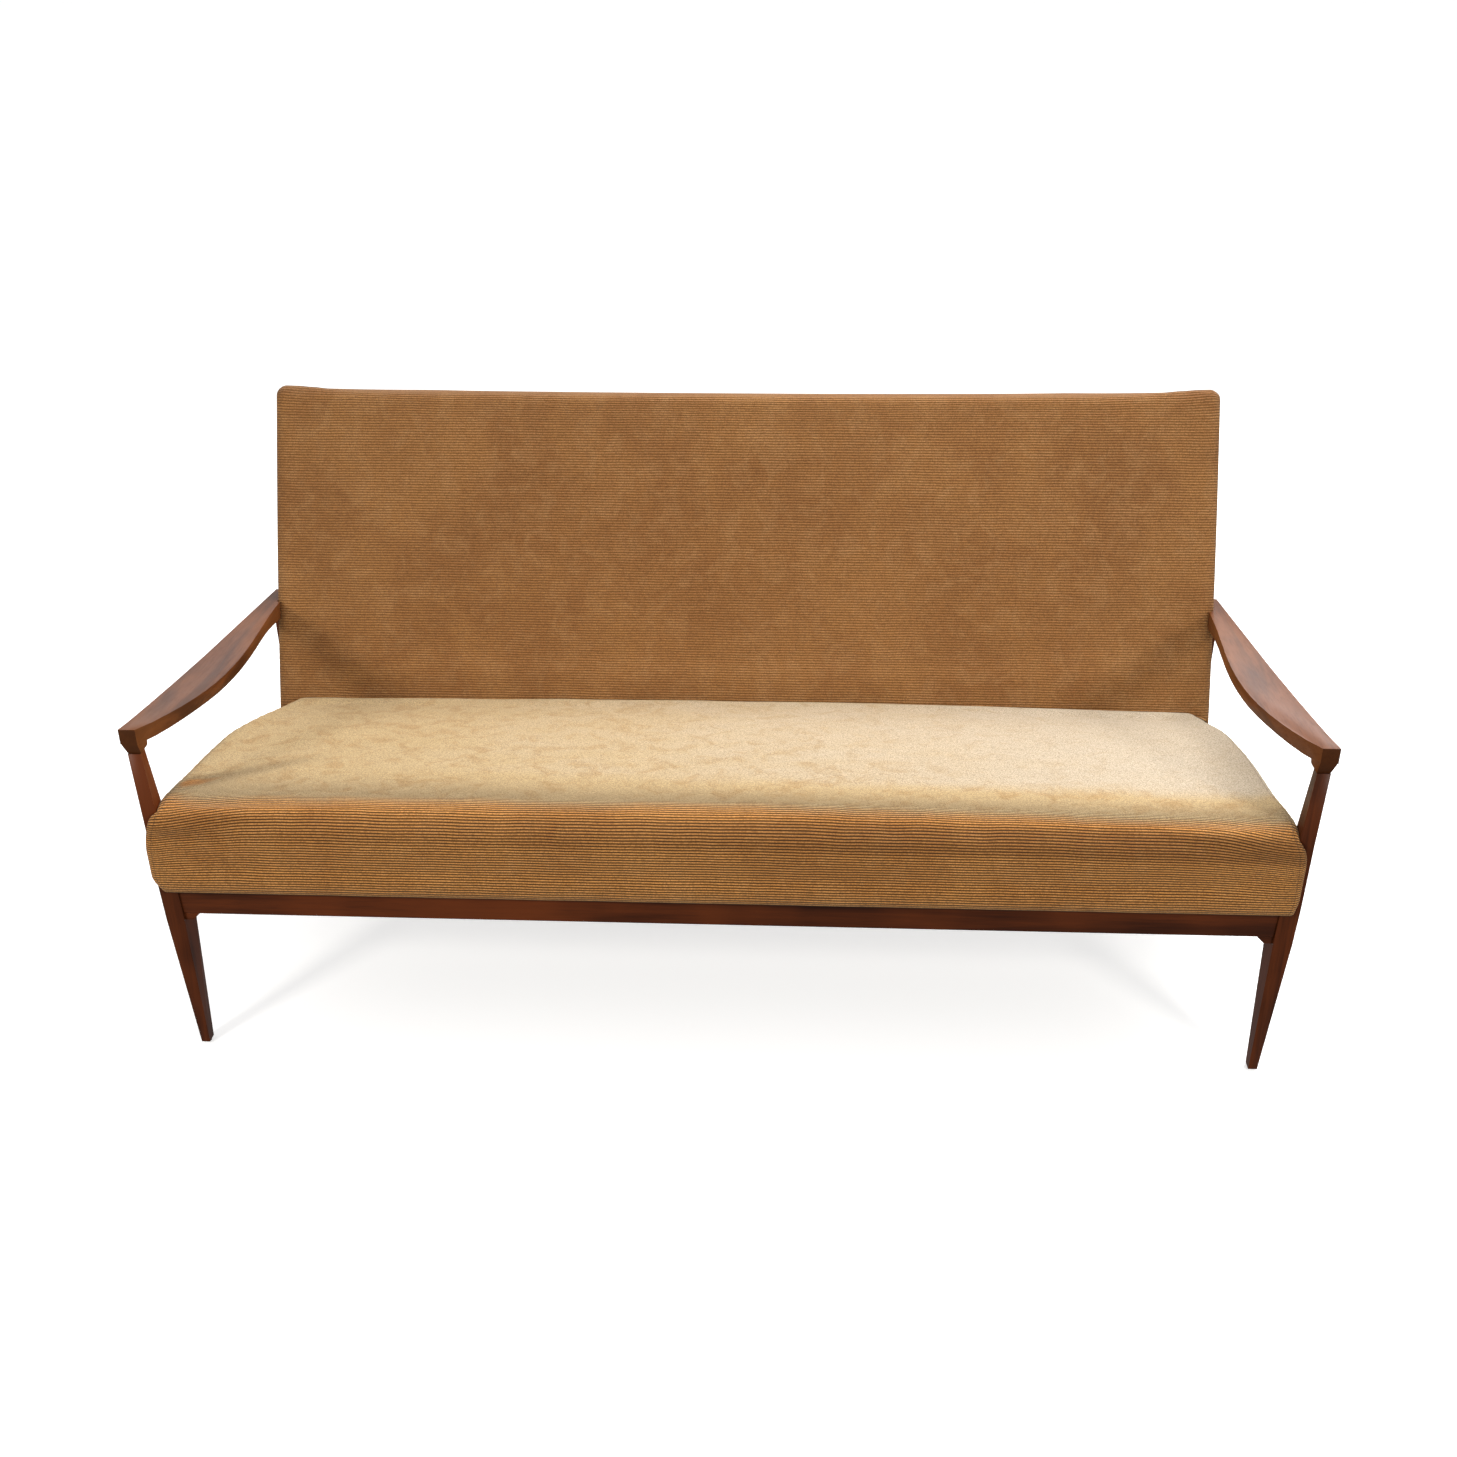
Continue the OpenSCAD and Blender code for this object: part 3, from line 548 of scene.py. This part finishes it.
def blow_up(coarse, held, pressure):
    """A coarse cover's points after Blender's Cloth has put it under pressure."""
    mesh = bpy.data.meshes.new("stuffing")
    mesh.from_pydata(coarse.reshape(-1, 3).tolist(), [], grid_faces(*coarse.shape[:2]))
    body = bpy.data.objects.new("stuffing", mesh)
    scene = bpy.context.scene
    scene.collection.objects.link(body)
    group = body.vertex_groups.new(name="held")
    for index, weight in enumerate(held):
        group.add([index], float(weight), "REPLACE")
    cloth = body.modifiers.new("Cloth", "CLOTH")
    settings = cloth.settings
    settings.quality = 6
    settings.mass = 0.4
    settings.tension_stiffness = settings.compression_stiffness = 12
    settings.shear_stiffness = 4
    settings.bending_stiffness = 2
    settings.use_pressure = True
    settings.uniform_pressure_force = pressure
    settings.vertex_group_mass = "held"
    settings.effector_weights.gravity = 0
    cloth.point_cache.frame_start = 1
    cloth.point_cache.frame_end = BLOWN_FRAMES
    for step in range(1, BLOWN_FRAMES + 1):
        scene.frame_set(step)
    view = bpy.context.evaluated_depsgraph_get()
    blown = body.evaluated_get(view).to_mesh()
    after = np.empty(len(blown.vertices) * 3)
    blown.vertices.foreach_get("co", after)
    body.evaluated_get(view).to_mesh_clear()
    bpy.data.objects.remove(body, do_unlink=True)
    scene.frame_set(1)
    return after.reshape(coarse.shape)


def spread(moved, keep_rows, keep_columns, rows, loop):
    """Displacements of some rows and columns, carried over to every one."""
    closed = np.concatenate([moved, moved[:, :1]], 1)
    columns = np.array(keep_columns + [loop])
    half = np.stack([np.stack([np.interp(np.arange(loop), columns, closed[i, :, k])
                               for k in range(3)], 1) for i in range(len(keep_rows))])
    full = np.empty((rows, loop, 3))
    for j in range(loop):
        for k in range(3):
            full[:, j, k] = np.interp(np.arange(rows), keep_rows, half[:, j, k])
    return full


def inflate(points, loose, pressure, cap):
    """How far each point of a cover moves when it is stuffed, at most cap, in metres.

    A coarser copy of the cover is blown up, held where loose is 0."""
    rows, loop = points.shape[:2]
    keep_rows = sorted({*range(0, rows, 3), rows - 1})
    keep_columns = list(range(0, loop, 2))
    chosen = np.ix_(keep_rows, keep_columns)
    moved = blow_up(points[chosen], 1 - loose[chosen].ravel(), pressure) - points[chosen]
    size = np.linalg.norm(moved, axis=2, keepdims=True)
    moved *= np.minimum(1, cap / np.maximum(size, 1e-9))
    return spread(moved, keep_rows, keep_columns, rows, loop)


def ripple(points, scale, seed):
    """Smooth noise from -1 to 1 at each point."""
    flat = points.reshape(-1, 3)
    values = [noise.noise(Vector(p) * scale + Vector((seed, 0, 0))) for p in flat.tolist()]
    return np.array(values).reshape(points.shape[:2])


def padded_cover(name, pile, skin_data, loose, pressure, cap, *nodes):
    """A stuffed cover in place of the named CAD parts. skin_data is what skin() takes."""
    points, *rest = skin_data
    points = points + inflate(points, loose, pressure, cap)
    piece = add_piece(name, skin(name, points, *rest), pile, *nodes)


def seat_edge_radius(points, outward):
    """The seat's shoulder is crisp at the sides and rounder at the rear corners."""
    depth = points[:, 0]
    shoulder = 11 + 6 * smooth(0, 60, depth) + 31 * smooth(400, 560, depth)
    underside = 6 * smooth(0.0, -0.8, outward[:, 1])
    return 12 - underside + (shoulder - 12) * smooth(0.0, 0.8, outward[:, 1])


def back_edge_radius(points, outward):
    """The back's side edges are equally round all the way along."""
    return np.full(len(points), 17.0)


def seat_half_width(x, depth, height):
    """The seat bulges in front of the legs and above them, and narrows at the rear."""
    high = smooth(385, 430, height)
    beside_leg = smooth(160, 45, depth)
    on_rail = 867 - 0.037 * np.clip(depth, 0, 600)
    leg_face = 853.5 + 0.095 * np.clip(height - 300, 0, 150)
    body = SEAT_HALF + (3 + np.where(x < 0, 3, 0)) * high
    body = body - smooth(230, 580, depth) * (8 + 8 * high)
    body = body - np.where(x < 0, 15, 0) * smooth(330, 470, depth) * smooth(320, 355, height)
    tucked = smooth(395, 360, height) * smooth(305, 330, height)
    body = body - 12 * smooth(430, 560, depth) * tucked
    body = body + (on_rail - body) * smooth(325, 300, height)
    body = body + (leg_face - body) * beside_leg
    nose = NOSE_HALF - 9 * smooth(400, 445, height)
    nose = nose + np.where(x < 0, 5 + 5 * smooth(420, 370, height), 0)
    nose = nose - np.where(x < 0, 16, 6) * smooth(325, 297, height)
    return body + (nose - body) * smooth(-2, -9, depth)


def seat_shape(x, depth, height, caps):
    """The seat's bulging sides, resting edges and falling ends.

    Returns the new x, depth and height, the distance from the side face before the
    change and how much each point belongs to the top."""
    side = np.sign(x)
    inside = SEAT_HALF - np.abs(x)
    full = smooth(110, 20, inside) * smooth(400, 424, height) * smooth(453, 440, height)
    depth = depth - np.where(x < 0, 10, 6) * full * smooth(40, 10, depth)
    width = seat_half_width(x, depth, height)
    fade = 1 - smooth(0, 150, inside)
    x = x + side * (width - SEAT_HALF) * fade
    above_rail = 297 + 0.0035 * np.clip(depth, 0, 600) - RAIL_TOP - 0.3
    settled = smooth(60, 90, depth) * smooth(90, 40, inside) * smooth(340, 306, height)
    height = height - above_rail * settled
    bulge = caps * (1 - caps) * 4
    x = x + side * bulge * 3 * smooth(80, 200, depth)

    across = np.abs(x) / SEAT_HALF
    top = smooth(340, 430, height + 0.09 * np.maximum(depth, 0))
    fall = np.where(x < 0, 2, 10) + np.where(x < 0, 6, 3) * smooth(40, 420, depth)
    height = height - top * fall * across ** 1.9
    front = smooth(-5, -20, depth) * smooth(300, 340, height)
    depth = depth - 1.5 * front * (1 - across ** 6)
    return x, depth, height, inside, top


def seat_looseness(depth, height, caps, insets):
    """1 where the seat's cover may swell; its underside, side seams and rear are held."""
    resting = smooth(318, 350, height)
    from_edge = smooth(2, 70, np.broadcast_to(insets, height.shape))
    from_edge = np.where(caps > 0, 0.4 * smooth(0.7, 0.2, caps), from_edge)
    rear = 1 - smooth(520, 560, depth)
    return np.clip(resting * from_edge * rear, 0, 1)


def seat_sheen_and_shade(x, depth, upward, caps):
    """The seat's painted sheen and shade: painted sheen most on top and to the right, painted
    shade on the roll.
    """
    # painted sheen on the faces that turn up, behind the crest
    nap = smooth(-16, 170, depth) * smooth(0.25, 0.6, upward)
    # painted shade on the roll below the crest
    nap = nap - 0.2 * smooth(0.0, 0.3, upward) * smooth(0.85, 0.65, upward)
    along_shadow = np.clip((x + 850) / 240, 0, 1)  # a painted shadow stroke at the left end
    off_shadow = depth - (80 + 160 * along_shadow)
    # painted shadow: a darker stroke across the top near the left end
    streak = np.exp(-(off_shadow / 24) ** 2) * smooth(-870, -840, x) * smooth(-620, -740, x)
    nap = nap - 0.6 * streak * smooth(0.8, 1.0, upward)
    # more painted sheen towards the right end
    nap = nap * (0.6 + 0.4 * smooth(-1000, 900, x))
    return np.where(caps > 0, 0.1 + (nap - 0.1) * smooth(0.3, 0.02, caps), nap)


def seat_cover():
    """The seat's cover, with its lumps and the gathers beside its side seams."""
    spacing = [9, 7, 7, 11, 11, 11, 10, 34]
    rings = [0.06, 0.13, 0.24, 0.4, 0.58, 0.78, 0.97]
    x, depth, height, caps, insets, ribs, upward = lay_out(
        SEAT_SIDE, spacing, SEAT_HALF, seat_edge_radius, SEAT_CORE, rings)
    x, depth, height, inside, top = seat_shape(x, depth, height, caps)
    points = in_frame(x, depth, height)

    seam_at = np.where(caps > 0, caps * 90 + 11, np.abs(insets - 11))
    seam = np.maximum(seam_at, 6 * smooth(430, 500, depth)) / 1000
    lumps = ripple(points, 9, 3) * 1.6 + ripple(points, 28, 8) * 0.5
    points[:, :, 2] += top * lumps / 1000 * smooth(6, 60, inside)
    near = np.exp(-(seam / 0.014) ** 2) * smooth(360, 400, height)
    gather = np.sin(depth * 0.34 + ripple(points, 40, 2) * 3) * near
    points[:, :, 2] += gather * 0.0007

    droop = 16 * smooth(190, 0, inside) ** 2 * smooth(300, 430, height)
    ribs = ribs + np.concatenate([droop, droop[:, :1]], 1)
    attributes = {"nap": seat_sheen_and_shade(x, depth, upward, caps), "seam": seam}
    loose = seat_looseness(depth, height, caps, insets)
    padded_cover("seat_corduroy", SEAT_PILE, (points, ribs, caps, attributes), loose,
                 3.0, 0.006, "seat_cover", "seat_padding")


def on_back(up, behind):
    """Depth and height of a place given along the leaning back."""
    depth = BACK_FOOT[0] + up * math.sin(BACK_LEAN) + behind * math.cos(BACK_LEAN)
    height = BACK_FOOT[1] + up * math.cos(BACK_LEAN) - behind * math.sin(BACK_LEAN)
    return depth, height


def back_shape(x, up, behind):
    """The back's narrowing sides, crowned front and slightly hollow top edge.

    Returns the new x, up and behind, and how much each point belongs to the front."""
    side = np.sign(x)
    share = (up - BACK_LOW) / (BACK_TOP - BACK_LOW)
    width = BACK_HALF_LOW + (BACK_HALF_TOP - BACK_HALF_LOW) * share
    x = x * (1 + (width / BACK_HALF_LOW - 1))
    x = x + side * 2.2 * np.sin(np.clip(share, 0, 1) * math.pi)
    across = np.clip(np.abs(x) / width, 0, 1)
    front = 1 - smooth(8, 30, behind)
    crown = 7 * np.clip(np.sin(np.clip((up - 15) / 500, 0, 1) * math.pi), 0, 1) ** 0.6
    behind = behind - front * crown * (1 - across ** 5)
    near_top = smooth(BACK_TOP - 70, BACK_TOP, up)
    ears = 3.2 * np.exp(-((1 - across) * BACK_HALF_TOP / 48) ** 2)
    up = up + near_top * (ears - 5.5 * (1 - across ** 2) - 1.6 * smooth(-700, 500, x))
    return x, up, behind, front


def back_cover():
    """The back's cover, with its lumps and painted shade along its top edge."""
    spacing = [11, 7, 11, 22]
    rings = [0.1, 0.28, 0.55, 0.94]
    x, up, behind, caps, insets, ribs, _ = lay_out(
        BACK_SIDE, spacing, BACK_HALF_LOW, back_edge_radius, BACK_CORE, rings)
    inside = BACK_HALF_LOW - np.abs(x)
    x, up, behind, front = back_shape(x, up, behind)
    points = in_frame(x + BACK_SHIFT, *on_back(up, behind))
    clear = smooth(30, 110, up) * (1 - smooth(40, 60, behind))
    loose = clear * smooth(2, 70, np.broadcast_to(insets, x.shape))
    loose = np.where(caps > 0, 0, loose)

    seam_at = np.where(caps > 0, caps * 60 + 2, insets + 2)
    seam = np.maximum(np.broadcast_to(seam_at, x.shape) / 1000, 0.004)
    lumps = ripple(points, 6, 5) * 1.5 + ripple(points, 22, 9) * 0.4
    points[:, :, 1] += front * lumps / 1000 * smooth(10, 90, inside)
    # painted shade on the top edge
    nap = -0.25 * smooth(BACK_TOP - 22, BACK_TOP - 4, up)
    attributes = {"nap": nap, "seam": seam}
    padded_cover("back_corduroy", BACK_PILE, (points, ribs, caps, attributes), loose,
                 2.5, 0.005, "back_cover", "back_padding")


def lining(name, slot, corners, out, bulge, node):
    """A cloth panel with a turned hem, tacked flat over an opening at the CAD part's place."""
    low_a, low_b, top_a, top_b = corners
    width, length, hem = (low_b - low_a).length, (top_a - low_a).length, 0.012

    def marks(size, count):
        edge = [0, hem * 0.3, hem, hem * 1.3]
        inner = np.linspace(hem * 2.5, size - hem * 2.5, count)
        return [*edge, *inner, *[size - m for m in reversed(edge)]]

    across, up = marks(width, 90), marks(length, 30)
    points, spots, from_hem = [], [], []
    for v in up:
        for u in across:
            s, t = u / width, v / length
            inset = min(u, width - u, v, length - v)
            fold = np.interp(inset, [0, hem * 0.3, hem, hem * 1.3], [0, 0.0009, 0.0009, 0])
            tack = 0.0006 * math.sin(u * 125) * math.sin(v * 125 + 1) * math.exp(-inset / 0.04)
            swell = bulge * math.sin(math.pi * s) * math.sin(math.pi * t)
            spot = low_a.lerp(low_b, s).lerp(top_a.lerp(top_b, s), t)
            points.append(spot + out * (fold + max(tack, 0) + swell))
            spots.append((u, v))
            from_hem.append(abs(inset - hem * 0.7))
    wide = len(across)
    faces = [(j * wide + i, j * wide + i + 1, (j + 1) * wide + i + 1, (j + 1) * wide + i)
             for j in range(len(up) - 1) for i in range(wide - 1)]
    mesh = bpy.data.meshes.new(name)
    mesh.from_pydata([tuple(p) for p in points], [], faces)
    wales = mesh.uv_layers.new(name="Wales")
    wales.data.foreach_set("uv", [c for face in faces for k in face for c in spots[k]])
    mesh.attributes.new("seam", "FLOAT", "POINT").data.foreach_set("value", from_hem)
    mesh.shade_smooth()
    piece = add_piece(name, mesh, FINISH[slot], node)


def rear_lining():
    """The cloth that closes the back of the upholstered back."""
    def spot(x, up):
        depth, height = on_back(up, BACK_THICK + 0.4)
        return Vector((x / 1000, RAIL_FACE + depth / 1000, height / 1000))

    low, high = BACK_LOW + 18.5, BACK_TOP - 18.5
    corners = spot(824, low), spot(-824, low), spot(807, high), spot(-807, high)
    rearwards = Vector((0, math.cos(BACK_LEAN), -math.sin(BACK_LEAN)))
    lining("back_lining", "rear_cloth", corners, rearwards, 0.0012, "back_rear_cloth")


def dust_lining():
    """The thin cloth under the seat, which sags a little between its tacks."""
    low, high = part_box("seat_dust_cover")
    corners = [Vector((x, y, high.z - 0.0006)) for y in (low.y, high.y) for x in (high.x, low.x)]
    lining("seat_lining", "dust_cloth", corners, Vector((0, 0, -1)), 0.005, "seat_dust_cover")


# ---------------------------------------------------------------- the stage


def camera():
    """The point of view: in front of the sofa, a little to its right, looking down."""
    lens = bpy.data.cameras.new("view")
    lens.sensor_width = 36
    lens.lens = 43.88
    lens.shift_x = 0.01685
    lens.shift_y = 0.11819
    eye = bpy.data.objects.new("view", lens)
    turn = (Matrix.Rotation(math.radians(4.045), 4, "Z")
            @ Matrix.Rotation(math.radians(90 - 30.914), 4, "X")
            @ Matrix.Rotation(math.radians(-0.867), 4, "Z"))
    eye.matrix_world = Matrix.Translation((0.1442, RAIL_FACE - 2.3592, 1.7109)) @ turn
    bpy.context.scene.collection.objects.link(eye)
    bpy.context.scene.camera = eye


def softbox(name, spot, target, size, power, colour=(1, 1, 1)):
    """A rectangular light at spot that points at target."""
    light = bpy.data.lights.new(name, "AREA")
    light.shape = "RECTANGLE"
    light.size, light.size_y = size
    light.energy = power
    light.color = colour
    lamp = bpy.data.objects.new(name, light)
    lamp.location = spot
    aim = Vector(target) - Vector(spot)
    lamp.rotation_euler = aim.to_track_quat("-Z", "Y").to_euler()
    bpy.context.scene.collection.objects.link(lamp)


def white_floor():
    """A wide floor that neither tints the sofa nor shows in its lacquer."""
    mesh = bpy.data.meshes.new("floor")
    reach = 60
    mesh.from_pydata([(-reach, -reach, 0), (reach, -reach, 0), (reach, reach, 0),
                      (-reach, reach, 0)], [], [(0, 1, 2, 3)])
    mesh.materials.append(floor_paint("floor_paint"))
    ground = bpy.data.objects.new("floor", mesh)
    bpy.context.scene.collection.objects.link(ground)
    ground.visible_diffuse = False
    ground.visible_glossy = False


def studio():
    """A world that is brighter overhead than below, and near white where it is seen."""
    world = bpy.data.worlds.new("studio")
    world.use_nodes = True
    tree = world.node_tree
    sky = tree.nodes["Background"]
    sky.inputs[0].default_value = (1, 1, 1, 1)
    coords = tree.nodes.new("ShaderNodeTexCoord")
    split = tree.nodes.new("ShaderNodeSeparateXYZ")
    fade = tree.nodes.new("ShaderNodeMapRange")
    fade.inputs["From Min"].default_value = -0.3
    fade.inputs["From Max"].default_value = 0.1
    fade.inputs["To Min"].default_value = 0.3
    fade.inputs["To Max"].default_value = 0.56
    seen = tree.nodes.new("ShaderNodeLightPath")
    pale = tree.nodes.new("ShaderNodeMath")
    pale.operation = "MULTIPLY"
    pale.inputs[1].default_value = 0.9
    brighter = tree.nodes.new("ShaderNodeMath")
    brighter.operation = "MAXIMUM"
    for source, socket in ((coords.outputs["Generated"], split.inputs[0]),
                           (split.outputs[2], fade.inputs["Value"]),
                           (seen.outputs["Is Camera Ray"], pale.inputs[0]),
                           (pale.outputs[0], brighter.inputs[0]),
                           (fade.outputs[0], brighter.inputs[1]),
                           (brighter.outputs[0], sky.inputs[1])):
        tree.links.new(source, socket)
    bpy.context.scene.world = world
    bpy.context.scene.view_settings.view_transform = "Standard"


def lights():
    warm = (1, 0.96, 0.9)
    softbox("overhead", (0.7, 1.0, 2.9), (0.25, 0.0, 0.4), (2.6, 1.5), 100)
    softbox("rear_right", (1.8, 3.0, 2.0), (0.8, 0, 0.5), (1.6, 1.0), 32)
    softbox("rear_left", (-2.1, 3.0, 2.0), (-0.8, 0, 0.5), (1.4, 1.0), 12)
    softbox("front_left", (-2.6, -3.0, 2.1), (0, 0.1, 0.5), (0.6, 0.6), 58, warm)
    softbox("front_right", (2.6, -3.0, 2.1), (0, 0.1, 0.5), (0.6, 0.6), 50, warm)


EASED = {  # how far each wooden part's edges are rounded off, in millimetres
    "front_leg_left": 1.6, "front_leg_right": 1.6, "rear_leg_left": 2.0, "rear_leg_right": 2.0,
    "armrest_left": 2.4, "armrest_right": 2.4, "front_rail": 2.0, "rear_rail": 2.0,
    "side_rail_left": 2.0, "side_rail_right": 2.0, "back_cross_rail": 2.0,
    "rail_wedges": 0.8, "seat_bearer_rail": 1.5, "back_bearer_rail": 1.5,
}

white_floor()
studio()
lights()
camera()
for cad_node, ease in EASED.items():
    eased(cad_node, ease / 1000)
seat_cover()
back_cover()
rear_lining()
dust_lining()
for cad_node, solid in frame["nodes"].items():
    solid.material_slots[0].material = finish_for(cad_node)
